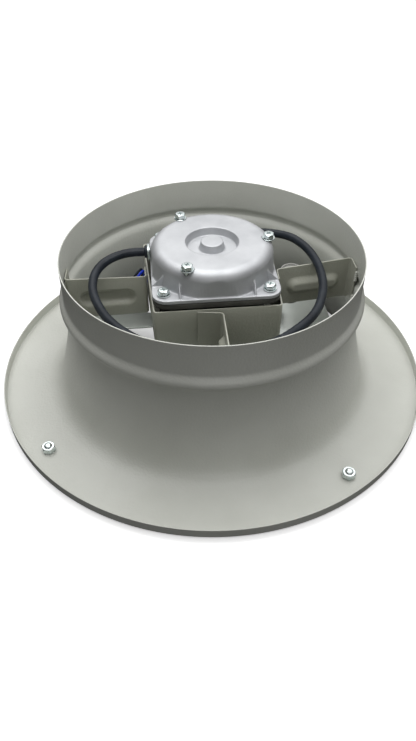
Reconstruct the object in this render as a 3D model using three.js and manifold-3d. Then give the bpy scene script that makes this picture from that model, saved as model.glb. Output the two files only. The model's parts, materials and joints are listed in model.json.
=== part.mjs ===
// Axial exhaust fan for a hood duct: a spun sheet-metal housing with a bell mouth and a flange, a
// motor standing in a folded sheet tray on three pressed arms, and a five-blade wheel in the throat.
// Millimetres, +Z up; the origin is the centre of the flange's underside.
import * as THREE from "three";
import { mergeVertices } from "three/addons/utils/BufferGeometryUtils.js";
import Module from "manifold-3d";

const wasm = await Module();
wasm.setup();

// ---- driving dimensions ----
const GAP = 0.3; // between pieces that touch
const PAST = 1; // how far a cutter runs past the face that it opens
const SINK = 0.2; // how deep a joined piece stands in the one that carries it
const TURN = Math.PI * 2;
// How many flats each kind of round piece is drawn with.
const ROUND = {
  hole: 10, stud: 12, washer: 14, shaft: 16, can: 20, core: 28, body: 32, hub: 36, cap: 40, housing: 56,
};

// How many straight lines each bend is drawn with.
const STEPS = { corner: 5, bell: 5, flare: 4, lip: 3, lipInside: 2, fold: 4, shoulder: 4, shoulderInside: 2 };
const SAME_POINT = 1e-4; // points closer than this are one

const SHEET = 1; // the housing's wall
const COLLAR = { r: 125, top: 127 };
const BEAD = { r: 129, z: 91, start: 100.5, round: 1.2 };
const WAIST = { r: 124.8, z: 86.5 };
// Control points of the two curves below the waist, as [r, z].
const BELL = [[124.8, 82.5], [125.2, 55], [131.5, 40], [135, 24]];
const FLARE = [[135, 24], [138.2, 9], [141.5, 5], [152, 2.6]];
const FLANGE = { r: 191.4, lip: 9.4, flat: 166, bend: 2 };
const STUDS = { circle: 173, first: -141, count: 4, r: 3, top: 8 };
const NUT = { flats: 10, height: 5, turn: 0.3 };

const MOTOR = { turn: 5.7, half: 51.2, corner: 14, top: 134, flange: 113, split: 109.6, seat: 105 };
const CAP = { foot: 52.2, shoulder: 50.4, bend: 8.6, flat: 49.9, wall: 3 };
const RECESS = { r: 21.8, floorR: 20.5, boss: 9.1, bossFoot: 10.6, floor: 127.2, wall: 2 };
const CAP_RIB = { offset: 29.5, foot: 41.5, reach: 9, tip: 8.4, nose: 1.2, height: 10, thickness: 1.4 };
const BODY = { r: 46, wall: 2.5, floor: 4, bottom: 65.5, round: 3, brim: 3, shaftHole: 6 };
const SHAFT = { r: 4, bore: 4.3, bottom: 27, top: 124, neck: 3.4, neckLength: 8 };
const BEARING = { r: 11, height: 7, lower: 69.9, upper: 117.2, cup: 3, cupDepth: 5, relief: 0.6 };
const STATOR = { r: 43.2, bore: 27.4, bottom: 78, top: 106 };
const ROTOR = { r: 26.8, shorter: 1 };
const COIL = { inner: 30, outer: 41, chamfer: 2, lowest: 70.5, highest: 115 };

const SCREW = { r: 2.4, hole: 2.8, flats: 8, head: 3.6, crown: 3.6, chamfer: 0.8 };
const WASHER = { r: 5.3, thickness: 1, room: 0.6 };
const CROSS = { length: 4.4, width: 0.9, depth: 1.4, turn: 20 };
const CAP_SCREWS = {
  circle: 46.4, first: 6, count: 3, seat: 133.2, boss: 6.2, depth: 6, shank: 9, turn: 0.4,
};
const CORNER_SCREWS = { at: 42, shank: 12, turn: 0.9 };
const SEAT_SCREWS = { at: 28, shank: 5 };

const TRAY = {
  turn: 6, front: 51.2, back: 57, half: 52, top: 103.5, bottom: 64, sheet: 1.2, bend: 3.5, hole: 33,
};
const ARM = { sheet: 1.2, bottom: 66, inner: 103.3, outer: 105.6, bend: 3, reach: 122.8, outerTab: 7.6 };
const RIB = { height: 17, z: 84.5, depth: 4.5, margin: 9 };
// Each arm's side of the tray. bend is where the strip leaves the tray's wall, lift how far it
// stands off there, tab the folded end's run along the wall, and collar the angle where the strip
// meets the collar.
const ARMS = {
  arm_right: { side: "right", bend: 0, lift: 1.6, tab: -15, collar: 9.6 },
  arm_front: { side: "front", bend: 3.1, lift: 4.6, tab: -20, collar: -83.2 },
  arm_left: { side: "left", bend: 0, lift: 1.6, tab: 15, collar: 186.7 },
};

const HUB = { r: 40, top: 56, bottom: 22, wall: 1.5, deck: 2, round: 3, boss: 10, bossBottom: 36 };
const HUB_NUT = { flats: 13, height: 5.5, washer: 9, washerT: 1.6 };
const BLADE = {
  count: 5, root: 40.4, tip: 117, sheet: 1.5, top: 55, rise: 30, tipRise: 37.5, pitch: 30, camber: 3,
  trailing: 50.5, sweep: 4, curl: 6, spans: 5, chords: 6,
};

const LEAD = { r: 3.6, core: 1.1, sides: 8, steps: 56, coreSteps: 30 };
const GLAND = { y: 11.4, z: 119.8, width: 12.5, height: 11.6, corner: 3.5, face: 50.8, inside: 44, plate: 2 };
const BUSH = { hole: 4.8, start: 49.3, sleeve: 4.5, head: 5.4, nose: 4.9, length: 2.4 };
const LEAD_ROUTE = [
  [-51, 6.4, 119.8], [-58, 5.8, 119.8], [-66, 4.8, 119.9], [-74.5, 2.2, 119.7], [-83, -3, 119],
  [-90, -10.5, 117.7], [-94.2, -20.5, 116], [-95, -32, 114], [-93, -43.5, 112.4],
  [-88, -56, 110.8], [-81, -68.5, 109.6], [-71, -81.5, 109.2], [-59, -92.5, 109.1],
  [-45, -102, 109.2], [-29, -109, 109.5], [-12, -113, 109.7], [5, -113.5, 109.7],
  [22, -110.5, 109.6], [38, -104, 109.4], [52, -94.5, 109.2], [64, -83, 109], [74.5, -70.5, 109],
  [82, -57, 109], [87, -41.5, 109], [89.8, -26, 109], [90.4, -9, 108.9], [89, 7.5, 108.8],
  [85.5, 23, 108.8], [79.5, 37, 108.9], [70.5, 49, 108.9], [58.5, 58, 107.2], [43.5, 64.8, 104.8],
  [27, 68, 102], [10, 68.6, 98.2], [-7, 67.2, 92.8], [-22, 64.2, 85.6], [-36, 59.6, 76],
];
const CORE_ROUTE = [
  [-36.7, 59.4, 75.5], [-42, 57.6, 71.4], [-48, 56, 67.8], [-54, 54, 65.6], [-60, 51.6, 65],
  [-65, 47.6, 65], [-67, 42, 65.8], [-66.4, 35.6, 68], [-64.8, 29, 71.8], [-63.2, 23, 77],
  [-61.6, 18.4, 83.4], [-60.4, 15.4, 90], [-59.9, 13.4, 95.4], [-60.6, 11, 98.4],
  [-62.4, 7.6, 98.4], [-64.4, 4.8, 96.8], [-66.8, 2.8, 94], [-69.4, 1.8, 90.4], [-72, 1.4, 86.4],
  [-74.4, 1.3, 82.2],
];
// From the blue core's middle to the black one's.
const CORE_SPREAD = [-2, 1.5, 0.9];

const CAPACITOR = { x: 70.5, y: 21.5, r: 9.7, bottom: 62, top: 93, chamfer: 1, rim: 1.3, dish: 1.6 };
const STRAP = { low: 72, high: 80, sheet: 0.8 };

const degrees = (angle) => (angle * Math.PI) / 180;
const onCircle = (r, angle) => [r * Math.cos(angle), r * Math.sin(angle)];
const corner = (x, y) => new THREE.Vector2(x, y);
const turnedBy = (x, y, angle) => corner(x, y).rotateAround(corner(0, 0), degrees(angle));

// ---- materials ----
const finish = (color, roughness, metalness) =>
  new THREE.MeshStandardMaterial({ color, roughness, metalness });
const PAINT = finish(0xb9bcb3, 0.45, 0.1);
const CAST = finish(0xcdd0d3, 0.5, 0.6);
const DARK_CAST = finish(0x4b4b46, 0.6, 0.4);
const ZINC = finish(0xb9c4c6, 0.3, 0.9);
const WHEEL_SHEET = finish(0xbcc4bf, 0.35, 0.8);
const STEEL = finish(0x8d9092, 0.35, 0.9);
const COPPER = finish(0xa8663a, 0.4, 0.8);
const BLACK_PVC = finish(0x23282d, 0.5, 0);
const BLUE_PVC = finish(0x1640d8, 0.45, 0);
const PALE_PLASTIC = finish(0xc9cac6, 0.55, 0);

// ---- solids ----
function solidOf(geometry) {
  const bare = geometry.clone();
  for (const name of Object.keys(bare.attributes)) {
    if (name !== "position") bare.deleteAttribute(name);
  }
  const merged = mergeVertices(bare, SAME_POINT);
  const vertProperties = merged.attributes.position.array;
  const make = (triVerts) => new wasm.Manifold(new wasm.Mesh({ numProp: 3, vertProperties, triVerts }));
  const triVerts = new Uint32Array(merged.index.array);
  const made = make(triVerts);
  return made.volume() > 0 ? made : make(triVerts.reverse());
}

function geometryOf(solid) {
  const { vertProperties, triVerts } = solid.getMesh();
  const indexed = new THREE.BufferGeometry();
  indexed.setAttribute("position", new THREE.BufferAttribute(new Float32Array(vertProperties), 3));
  indexed.setIndex(new THREE.BufferAttribute(new Uint32Array(triVerts), 1));
  const faceted = indexed.toNonIndexed();
  faceted.computeVertexNormals();
  return faceted;
}

// A profile of [r, z] points turned about Z; it closes on itself or ends on the axis.
function turned(profile, segments) {
  const points = profile.map(([r, z]) => corner(r, z));
  return solidOf(new THREE.LatheGeometry(points, segments).rotateX(Math.PI / 2));
}

const closed = (profile) => [...profile, profile[0]];

const ring = (inner, outer, bottom, top, segments) =>
  turned(closed([[inner, bottom], [outer, bottom], [outer, top], [inner, top]]), segments);

const disc = (r, bottom, top, segments) => turned([[0, bottom], [r, bottom], [r, top], [0, top]], segments);

function block(x, y, z) {
  const size = [x, y, z].map(([low, high]) => high - low);
  const middle = [x, y, z].map(([low, high]) => (high + low) / 2);
  return solidOf(new THREE.BoxGeometry(...size).translate(...middle));
}

function extruded(outline, bottom, top) {
  const options = { depth: top - bottom, bevelEnabled: false, curveSegments: STEPS.corner };
  return solidOf(new THREE.ExtrudeGeometry(outline, options).translate(0, 0, bottom));
}

const joined = (solids) => solids.reduce((whole, solid) => whole.add(solid));
const cutBy = (solid, cutters) => cutters.reduce((left, cutter) => left.subtract(cutter), solid);

// A closed outline through corner points, each corner rounded to the same radius.
function roundedOutline(corners, radius) {
  const outline = new THREE.Shape();
  corners.forEach((point, i) => {
    const before = corners[(i + corners.length - 1) % corners.length];
    const after = corners[(i + 1) % corners.length];
    const toBefore = before.clone().sub(point).normalize();
    const toAfter = after.clone().sub(point).normalize();
    const setback = radius / Math.tan(toBefore.angleTo(toAfter) / 2);
    const start = point.clone().addScaledVector(toBefore, setback);
    const end = point.clone().addScaledVector(toAfter, setback);
    if (i === 0) outline.moveTo(start.x, start.y);
    else outline.lineTo(start.x, start.y);
    outline.quadraticCurveTo(point.x, point.y, end.x, end.y);
  });
  outline.closePath();
  return outline;
}

function rectangle(x, y, width, height, radius) {
  const [left, right] = [x - width / 2, x + width / 2];
  const [low, high] = [y - height / 2, y + height / 2];
  const corners = [corner(left, low), corner(right, low), corner(right, high), corner(left, high)];
  return roundedOutline(corners, radius);
}

function hexOutline(flats) {
  const points = [];
  for (let i = 0; i < 6; i += 1) points.push(corner(...onCircle(flats / Math.sqrt(3), (i * TURN) / 6)));
  return new THREE.Shape(points);
}

const part = new THREE.Group();

function place(name, solid, material, { at = [0, 0, 0], turn = 0 } = {}) {
  const mesh = new THREE.Mesh(geometryOf(solid), material);
  mesh.name = name;
  mesh.position.set(...at);
  mesh.rotation.z = turn;
  part.add(mesh);
}

// ---- housing: collar, bead, bell mouth and flange, all one spun sheet ----
function arc(centreR, centreZ, radius, from, to, steps) {
  const points = [];
  for (let i = 0; i <= steps; i += 1) {
    const angle = degrees(from + ((to - from) * i) / steps);
    points.push([centreR + radius * Math.cos(angle), centreZ + radius * Math.sin(angle)]);
  }
  return points;
}

function bezier(controls, steps) {
  const curve = new THREE.CubicBezierCurve(...controls.map(([r, z]) => corner(r, z)));
  return curve.getPoints(steps).map(({ x, y }) => [x, y]);
}

// The outer face of the wall, from the collar's rim down to the flange's flat.
function outerWall() {
  return [
    [COLLAR.r, COLLAR.top],
    [COLLAR.r, BEAD.start],
    [BEAD.r - BEAD.round / 3, BEAD.z + BEAD.round],
    [BEAD.r, BEAD.z],
    [BEAD.r - BEAD.round, BEAD.z - BEAD.round],
    [WAIST.r, WAIST.z],
    ...bezier(BELL, STEPS.bell),
    ...bezier(FLARE, STEPS.flare).slice(1),
    [FLANGE.flat, SHEET],
  ];
}

// The same wall's other face, one sheet further in and down, in the opposite order.
function innerWall(outer) {
  const rim = outer.length - 1;
  const wall = outer.toReversed();
  return wall.map(([r, z], i) => {
    const [nextR, nextZ] = wall[Math.min(i + 1, rim)];
    const [lastR, lastZ] = wall[Math.max(i - 1, 0)];
    const along = Math.hypot(nextR - lastR, nextZ - lastZ);
    const inward = (nextZ - lastZ) / along;
    const down = (lastR - nextR) / along;
    if (i === 0) return [r, z - SHEET];
    return [r - SHEET * inward, i === rim ? z : z - SHEET * down];
  });
}

function studSpots() {
  const spots = [];
  for (let i = 0; i < STUDS.count; i += 1) {
    const angle = degrees(STUDS.first) + (i * TURN) / STUDS.count;
    const [x, y] = onCircle(STUDS.circle, angle);
    spots.push({ x, y, angle });
  }
  return spots;
}

function housing() {
  const { r, lip, bend } = FLANGE;
  const outer = outerWall();
  const shell = turned(closed([
    ...outer,
    ...arc(r - bend, bend, bend - SHEET, -90, 0, STEPS.lipInside),
    [r - SHEET, lip],
    [r, lip],
    ...arc(r - bend, bend, bend, 0, -90, STEPS.lip),
    ...innerWall(outer),
  ]), ROUND.housing);
  const hole = disc(STUDS.r + GAP, -PAST, SHEET + PAST, ROUND.stud);
  place("housing_shell", cutBy(shell, studSpots().map(({ x, y }) => hole.translate([x, y, 0]))), PAINT);
}

function flangeFasteners() {
  const nut = extruded(hexOutline(NUT.flats), 0, NUT.height)
    .subtract(disc(STUDS.r + GAP, -PAST, NUT.height + PAST, ROUND.stud));
  const stud = disc(STUDS.r, 0, STUDS.top, ROUND.stud);
  studSpots().forEach(({ x, y, angle }, i) => {
    place("flange_stud_" + (i + 1), stud, ZINC, { at: [x, y, 0] });
    place("flange_nut_" + (i + 1), nut, ZINC, { at: [x, y, SHEET + GAP], turn: angle + NUT.turn });
  });
}

// ---- motor tray: a folded sheet box, open at the top, a little wider at the back ----
function trayOutline(inset) {
  const front = TRAY.front - inset;
  const back = TRAY.back - inset;
  const half = TRAY.half - inset;
  const corners = [corner(-front, -half), corner(front, -half), corner(back, half), corner(-back, half)];
  return roundedOutline(corners, TRAY.bend - inset);
}

const CORNERS = [[-1, -1], [1, -1], [1, 1], [-1, 1]];
const atCorners = (distance) => CORNERS.map(([sx, sy]) => [sx * distance, sy * distance]);

function tray() {
  const { top, bottom, sheet, hole, turn } = TRAY;
  const floorTop = bottom + sheet;
  const screwHole = disc(SCREW.hole, bottom - PAST, floorTop + PAST, ROUND.hole);
  const box = cutBy(extruded(trayOutline(0), bottom, top), [
    extruded(trayOutline(sheet), floorTop, top + PAST),
    disc(hole, bottom - PAST, floorTop + PAST, ROUND.body),
    ...atCorners(SEAT_SCREWS.at).map(([x, y]) => screwHole.translate([x, y, 0])),
  ]);
  place("motor_tray", box, PAINT, { turn: degrees(turn) });
}

// ---- arms: one pressed strip each, both ends folded the same way, with a long rib ----
// A point beside one of the tray's walls: along it from its middle, and off its outer face.
function besideTray(side, along, off) {
  const { front, back, half } = TRAY;
  const width = front + ((back - front) * (along + half)) / (2 * half);
  const spots = {
    right: [width + off, along],
    left: [-width - off, along],
    front: [along, -half - off],
  };
  return turnedBy(...spots[side], TRAY.turn);
}

function stadium(length, height) {
  const r = height / 2;
  const outline = new THREE.Shape();
  outline.absarc(length - r, 0, r, -Math.PI / 2, Math.PI / 2, false);
  outline.absarc(r, 0, r, Math.PI / 2, (3 * Math.PI) / 2, false);
  outline.closePath();
  return outline;
}

// A strip of sheet seen from above: a line of points given thickness to both sides.
function stripOutline(line, thickness) {
  const sides = [[], []];
  line.forEach((point, i) => {
    const next = line[Math.min(i + 1, line.length - 1)];
    const last = line[Math.max(i - 1, 0)];
    const along = next.clone().sub(last).normalize();
    const across = corner(-along.y, along.x).multiplyScalar(thickness / 2);
    sides[0].push(point.clone().add(across));
    sides[1].push(point.clone().sub(across));
  });
  return new THREE.Shape([...sides[0], ...sides[1].reverse()]);
}

function bendPoints(from, at, to) {
  const toFrom = from.clone().sub(at).normalize();
  const toTo = to.clone().sub(at).normalize();
  const start = at.clone().addScaledVector(toFrom, ARM.bend);
  const end = at.clone().addScaledVector(toTo, ARM.bend);
  return new THREE.QuadraticBezierCurve(start, at, end).getPoints(STEPS.fold);
}

// Lowers the strip's top edge towards the tray, from its full height at the collar.
function slopedTop(strip, innerR, outerR) {
  const { bottom, inner, outer } = ARM;
  return strip.warp((vertex) => {
    if (vertex[2] < (bottom + outer) / 2) return;
    const reached = (Math.hypot(vertex[0], vertex[1]) - innerR) / (outerR - innerR);
    vertex[2] = inner + (outer - inner) * Math.min(1, Math.max(0, reached));
  });
}

function armSolid({ side, bend, lift, tab, collar }) {
  const { sheet, bottom, outer, reach, outerTab } = ARM;
  const trayEnd = besideTray(side, bend + tab, GAP + sheet);
  const trayBend = besideTray(side, bend, lift);
  const collarBend = corner(...onCircle(reach, degrees(collar)));
  const collarEnd = corner(...onCircle(reach, degrees(collar - outerTab)));
  const line = [
    trayEnd,
    ...bendPoints(trayEnd, trayBend, collarBend),
    ...bendPoints(trayBend, collarBend, collarEnd),
    collarEnd,
  ];
  const strip = extruded(stripOutline(line, sheet), bottom, outer);
  const sloped = slopedTop(strip, trayBend.length(), collarBend.length());

  // The rib is pressed towards the side that the ends are folded to.
  const web = collarBend.clone().sub(trayBend);
  const length = web.length() - 2 * RIB.margin;
  const raised = extruded(stadium(length, RIB.height), 0, RIB.depth + sheet / 2);
  const hollow = extruded(stadium(length - 2 * sheet, RIB.height - 2 * sheet), -sheet, RIB.depth - sheet / 2);
  const onWeb = (solid, start) =>
    solid
      .rotate([90, 0, 0])
      .translate([start, 0, RIB.z])
      .rotate([0, 0, THREE.MathUtils.radToDeg(web.angle())])
      .translate([trayBend.x, trayBend.y, 0]);
  return sloped.add(onWeb(raised, RIB.margin)).subtract(onWeb(hollow, RIB.margin + sheet));
}

function arms() {
  for (const [name, plan] of Object.entries(ARMS)) place(name, armSolid(plan), PAINT);
}

// ---- motor ----
const motorTurn = { turn: degrees(MOTOR.turn) };
const motorSquare = () => rectangle(0, 0, 2 * MOTOR.half, 2 * MOTOR.half, MOTOR.corner);

function capScrewSpots() {
  const first = degrees(CAP_SCREWS.first - MOTOR.turn);
  const spots = [];
  for (let i = 0; i < CAP_SCREWS.count; i += 1) {
    spots.push(onCircle(CAP_SCREWS.circle, first + (i * TURN) / CAP_SCREWS.count));
  }
  return spots;
}

// The round wall, cut flat where it would pass the square flange, with the recess and bearing seat.
function capShell() {
  const { top, flange, split } = MOTOR;
  const { foot, shoulder, bend, wall, flat } = CAP;
  const bendR = shoulder - bend;
  const bendZ = top - bend;
  const under = RECESS.floor - wall;
  const relief = under + BEARING.relief;
  const shell = turned([
    [0, top],
    [RECESS.boss, top],
    [RECESS.bossFoot, RECESS.floor],
    [RECESS.floorR, RECESS.floor],
    [RECESS.r, top],
    ...arc(bendR, bendZ, bend, 90, 0, STEPS.shoulder),
    [foot, flange],
    [foot, split],
    [foot - wall, split],
    [shoulder - wall, bendZ],
    ...arc(bendR, bendZ, bend - wall, 0, 90, STEPS.shoulderInside),
    [RECESS.r + RECESS.wall, top - wall],
    [RECESS.r + RECESS.wall, under],
    [BEARING.r + BEARING.cup, under],
    [BEARING.r + BEARING.cup, BEARING.upper],
    [BEARING.r + GAP, BEARING.upper],
    [BEARING.r + GAP, relief],
    [0, relief],
  ], ROUND.cap);
  return shell.intersect(block([-flat, flat], [-flat, flat], [split - PAST, top + PAST]));
}

function capFlange() {
  const { flange, split } = MOTOR;
  return extruded(motorSquare(), split, flange)
    .subtract(disc(CAP.foot - CAP.wall, split - PAST, flange + PAST, ROUND.cap));
}

// Two thin ribs stand beside each corner screw, between the wall and the flange's edge.
function capRibs() {
  const { offset, foot, reach, tip, nose, height, thickness } = CAP_RIB;
  const side = new THREE.Shape([corner(0, 0), corner(reach, 0), corner(tip, nose), corner(0, height)]);
  const rib = extruded(side, -thickness / 2, thickness / 2).rotate([90, 0, 0]);
  const low = MOTOR.flange - SINK;
  return CORNERS.flatMap(([sx, sy]) => [
    rib.rotate([0, 0, sy * 90]).translate([sx * offset, sy * foot, low]),
    rib.rotate([0, 0, sx > 0 ? 0 : 180]).translate([sx * foot, sy * offset, low]),
  ]);
}

// The pad that the lead's gland plate is screwed to, as deep inside the wall as the bush reaches.
function glandPad() {
  const { y, z, width, height, face, inside } = GLAND;
  const reach = [-face, -inside];
  return block(reach, [y - width / 2, y + width / 2], [MOTOR.flange - SINK, z + height / 2 - GAP]);
}

function glandBore() {
  const { y, z, face, inside, plate } = GLAND;
  const outer = face + plate + 2 * PAST;
  return disc(BUSH.hole, -outer, -inside + PAST, ROUND.shaft).rotate([0, 90, 0]).translate([0, y, z]);
}

function capCutters() {
  const { split, flange, top } = MOTOR;
  const washerRoom = WASHER.r + WASHER.room;
  const { seat, depth } = CAP_SCREWS;
  const capHole = disc(SCREW.hole, seat - 2 * depth, top + PAST, ROUND.hole);
  const capSeat = disc(washerRoom, seat, top + PAST, ROUND.washer);
  const cornerHole = disc(SCREW.hole, split - PAST, flange + PAST, ROUND.hole);
  const cornerSeat = disc(washerRoom, flange, CAP_SCREWS.seat, ROUND.washer);
  const moved = (cutters, spots) => spots.flatMap(([x, y]) => cutters.map((c) => c.translate([x, y, 0])));
  return [
    ...moved([capHole, capSeat], capScrewSpots()),
    ...moved([cornerHole, cornerSeat], atCorners(CORNER_SCREWS.at)),
    glandBore(),
  ];
}

function motorCap() {
  const { seat, boss, depth } = CAP_SCREWS;
  const screwBoss = disc(boss, seat - depth, seat, ROUND.washer);
  const bosses = capScrewSpots().map(([x, y]) => screwBoss.translate([x, y, 0]));
  const whole = joined([capShell(), capFlange(), ...capRibs(), ...bosses, glandPad()]);
  place("motor_cap", cutBy(whole, capCutters()), CAST, motorTurn);
}

function motorBody() {
  const { seat, split } = MOTOR;
  const { r, wall, floor, bottom, round, brim, shaftHole } = BODY;
  const top = split - GAP;
  const floorTop = bottom + floor;
  const cup = turned(closed([
    [shaftHole, bottom],
    [r - round, bottom],
    [r, bottom + round],
    [r, seat],
    [r + brim, seat],
    [r + brim, top],
    [r - wall, top],
    [r - wall, floorTop],
    [BEARING.r + BEARING.cup, floorTop],
    [BEARING.r + BEARING.cup, BEARING.lower + BEARING.cupDepth],
    [BEARING.r + GAP, BEARING.lower + BEARING.cupDepth],
    [BEARING.r + GAP, floorTop],
    [shaftHole, floorTop],
  ]), ROUND.body);
  const flange = extruded(motorSquare(), seat, top).subtract(disc(r, seat - PAST, top + PAST, ROUND.body));
  const cornerHole = disc(SCREW.hole, seat - PAST, top + PAST, ROUND.hole);
  const seatHole = disc(SCREW.hole, bottom - PAST, floorTop + PAST, ROUND.hole);
  const cutters = atCorners(CORNER_SCREWS.at).map(([x, y]) => cornerHole.translate([x, y, 0]));
  for (const [x, y] of atCorners(SEAT_SCREWS.at)) {
    const spot = turnedBy(x, y, TRAY.turn - MOTOR.turn);
    cutters.push(seatHole.translate([spot.x, spot.y, 0]));
  }
  place("motor_body", cutBy(cup.add(flange), cutters), DARK_CAST, motorTurn);
}

function windings() {
  const { inner, outer, chamfer, lowest, highest } = COIL;
  const coil = (low, high) =>
    turned(closed([
      [inner, low],
      [outer - chamfer, low],
      [outer, low + chamfer],
      [outer, high - chamfer],
      [outer - chamfer, high],
      [inner, high],
    ]), ROUND.core);
  place("winding_lower", coil(lowest, STATOR.bottom - GAP), COPPER);
  place("winding_upper", coil(STATOR.top + GAP, highest), COPPER);
}

function motorInside() {
  const { r, bore, bottom, top } = STATOR;
  place("stator_core", ring(bore, r, bottom, top, ROUND.core), STEEL);
  windings();
  const low = bottom + ROTOR.shorter;
  const high = top - ROTOR.shorter;
  place("rotor_core", ring(SHAFT.r + GAP, ROTOR.r, low, high, ROUND.core), STEEL);
  const shoulder = SHAFT.bottom + SHAFT.neckLength;
  place("motor_shaft", turned([
    [0, SHAFT.bottom],
    [SHAFT.neck, SHAFT.bottom],
    [SHAFT.neck, shoulder],
    [SHAFT.r, shoulder],
    [SHAFT.r, SHAFT.top],
    [0, SHAFT.top],
  ], ROUND.shaft), STEEL);
  for (const name of ["lower", "upper"]) {
    const foot = BEARING[name];
    const bearing = ring(SHAFT.bore, BEARING.r, foot, foot + BEARING.height, ROUND.can);
    place("bearing_" + name, bearing, STEEL);
  }
}

// A hex-head screw with a cross recess: its head stands on z = 0 and its shank runs down.
function screwSolid(shank) {
  const { r, flats, head, crown, chamfer } = SCREW;
  const crowned = turned([
    [0, -PAST],
    [flats, -PAST],
    [flats, head - chamfer - (flats - crown) / 2],
    [crown, head],
    [0, head],
  ], ROUND.stud);
  const slot = block(
    [-CROSS.length / 2, CROSS.length / 2],
    [-CROSS.width / 2, CROSS.width / 2],
    [head - CROSS.depth, head + PAST],
  );
  const screw = extruded(hexOutline(flats), 0, head)
    .intersect(crowned)
    .add(disc(r, -shank, SINK, ROUND.hole));
  return cutBy(screw, [
    slot.rotate([0, 0, CROSS.turn]),
    slot.rotate([0, 0, CROSS.turn + 90]),
  ]);
}

// Each screw's spot is in the motor's frame; its head stands on a washer.
function fitScrew(name, [x, y], seat, shank, turn) {
  const spot = turnedBy(x, y, MOTOR.turn);
  const washer = ring(SCREW.r + GAP, WASHER.r, 0, WASHER.thickness, ROUND.washer);
  place(name + "_washer", washer, ZINC, { at: [spot.x, spot.y, seat + GAP] });
  const head = seat + WASHER.thickness + 2 * GAP;
  place(name, screwSolid(shank), ZINC, { at: [spot.x, spot.y, head], turn });
}

function motorScrews() {
  capScrewSpots().forEach((spot, i) => {
    fitScrew("cap_screw_" + (i + 1), spot, CAP_SCREWS.seat, CAP_SCREWS.shank, CAP_SCREWS.turn + i);
  });
  atCorners(CORNER_SCREWS.at).forEach((spot, i) => {
    fitScrew("corner_screw_" + (i + 1), spot, MOTOR.flange, CORNER_SCREWS.shank, CORNER_SCREWS.turn * i);
  });
  const upward = screwSolid(SEAT_SCREWS.shank).rotate([180, 0, 0]);
  atCorners(SEAT_SCREWS.at).forEach(([x, y], i) => {
    const spot = turnedBy(x, y, TRAY.turn);
    place("seat_screw_" + (i + 1), upward, ZINC, { at: [spot.x, spot.y, TRAY.bottom - GAP] });
  });
}

// ---- supply lead ----
function glandPieces() {
  const { y, z, width, height, face, plate } = GLAND;
  const outer = face + GAP + plate;
  // Drawn in the plate's own plane, then stood up against the pad.
  const flat = extruded(rectangle(y, z, width, height, GLAND.corner), -outer, -outer + plate);
  place("gland_plate", flat.rotate([90, 0, 90]).subtract(glandBore()), ZINC, motorTurn);
  const inner = LEAD.r + GAP;
  const bush = turned(closed([
    [inner, -BUSH.start],
    [BUSH.sleeve, -BUSH.start],
    [BUSH.sleeve, -outer - GAP],
    [BUSH.head, -outer - GAP],
    [BUSH.nose, -outer - BUSH.length],
    [inner, -outer - BUSH.length],
  ]), ROUND.washer);
  place("lead_bush", bush.rotate([0, 90, 0]).translate([0, y, z]), BLACK_PVC, motorTurn);
}

function cord(route, r, steps) {
  const points = route.map((point) => new THREE.Vector3(...point));
  const section = new THREE.Shape();
  for (let i = 0; i < LEAD.sides; i += 1) {
    const [x, y] = onCircle(r, (i * TURN) / LEAD.sides);
    if (i === 0) section.moveTo(x, y);
    else section.lineTo(x, y);
  }
  section.closePath();
  const extrudePath = new THREE.CatmullRomCurve3(points, false, "centripetal");
  return solidOf(new THREE.ExtrudeGeometry(section, { steps, extrudePath, bevelEnabled: false }));
}

function supplyLead() {
  place("supply_lead", cord(LEAD_ROUTE, LEAD.r, LEAD.steps), BLACK_PVC);
  const beside = (side) => CORE_ROUTE.map((point) => point.map((value, i) => value + side * CORE_SPREAD[i]));
  place("lead_core_blue", cord(beside(-0.5), LEAD.core, LEAD.coreSteps), BLUE_PVC);
  place("lead_core_black", cord(beside(0.5), LEAD.core, LEAD.coreSteps), BLACK_PVC);
}

// ---- run capacitor in its strap, behind the right arm ----
function runCapacitor() {
  const { x, y, r, bottom, top, chamfer, rim, dish } = CAPACITOR;
  const can = turned([
    [0, bottom],
    [r - chamfer, bottom],
    [r, bottom + chamfer],
    [r, top],
    [r - rim, top],
    [r - rim, top - dish],
    [0, top - dish],
  ], ROUND.can);
  place("run_capacitor", can, PALE_PLASTIC, { at: [x, y, 0] });
  const strap = ring(r + GAP, r + GAP + STRAP.sheet, STRAP.low, STRAP.high, ROUND.can);
  place("capacitor_strap", strap, ZINC, { at: [x, y, 0] });
}

// ---- wheel: a spun hub with riveted sheet blades ----
function wheelHub() {
  const { r, top, bottom, wall, deck, round, boss, bossBottom } = HUB;
  place("wheel_hub", turned(closed([
    [SHAFT.bore, bossBottom],
    [boss, bossBottom],
    [boss, top - deck],
    [r - wall - deck, top - deck],
    [r - wall, top - 2 * deck],
    [r - wall, bottom],
    [r, bottom],
    [r, top - round],
    [r - round, top],
    [SHAFT.bore, top],
  ]), ROUND.hub), WHEEL_SHEET);
}

function hubNut() {
  const { flats, height, washer, washerT } = HUB_NUT;
  const washerTop = HUB.bossBottom - GAP;
  const ringed = ring(SHAFT.r + GAP, washer, washerTop - washerT, washerTop, ROUND.shaft);
  place("wheel_washer", ringed, ZINC);
  const top = washerTop - washerT - GAP;
  const nut = extruded(hexOutline(flats), top - height, top)
    .subtract(disc(SHAFT.neck + GAP, top - height - PAST, top + PAST, ROUND.shaft));
  place("wheel_nut", nut, ZINC);
}

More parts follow.
